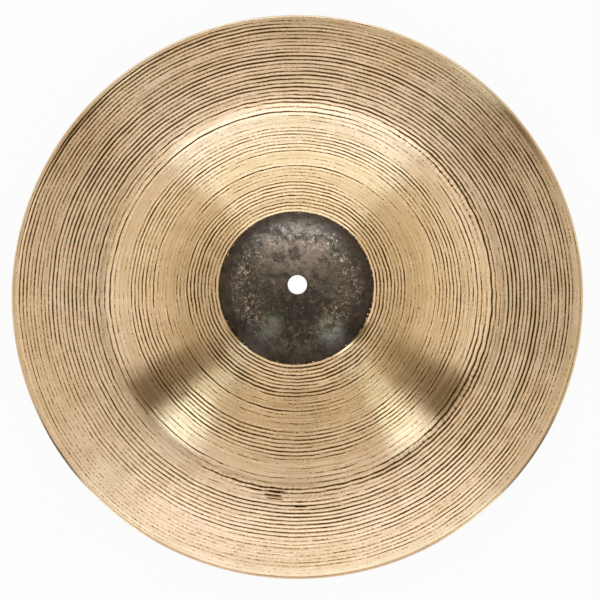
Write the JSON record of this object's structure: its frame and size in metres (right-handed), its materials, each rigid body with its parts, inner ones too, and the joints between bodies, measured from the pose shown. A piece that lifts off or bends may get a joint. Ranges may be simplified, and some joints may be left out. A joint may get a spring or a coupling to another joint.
{
  "type": "china cymbal",
  "caption": "China cymbal: one hammered and lathed bronze disc with a low bell, a bow, a crease and an upturned flange, holed for a stand rod.",
  "frame": {"origin": "under the centre of the stand hole, at the level of the surface that the crease rests on, bell up", "axes": "+Z along the axis of the hole, from the underside towards the bell; the disc is round, so +X and +Y are alike"},
  "size_m": [0.4064, 0.4064, 0.0328],
  "materials": {
    "bronze": "cast bronze, hammered, lathed in rings and left raw and dark on the bell"
  },
  "bodies": {
    "root": {"cymbal": "bronze"}
  },
  "joints": []
}
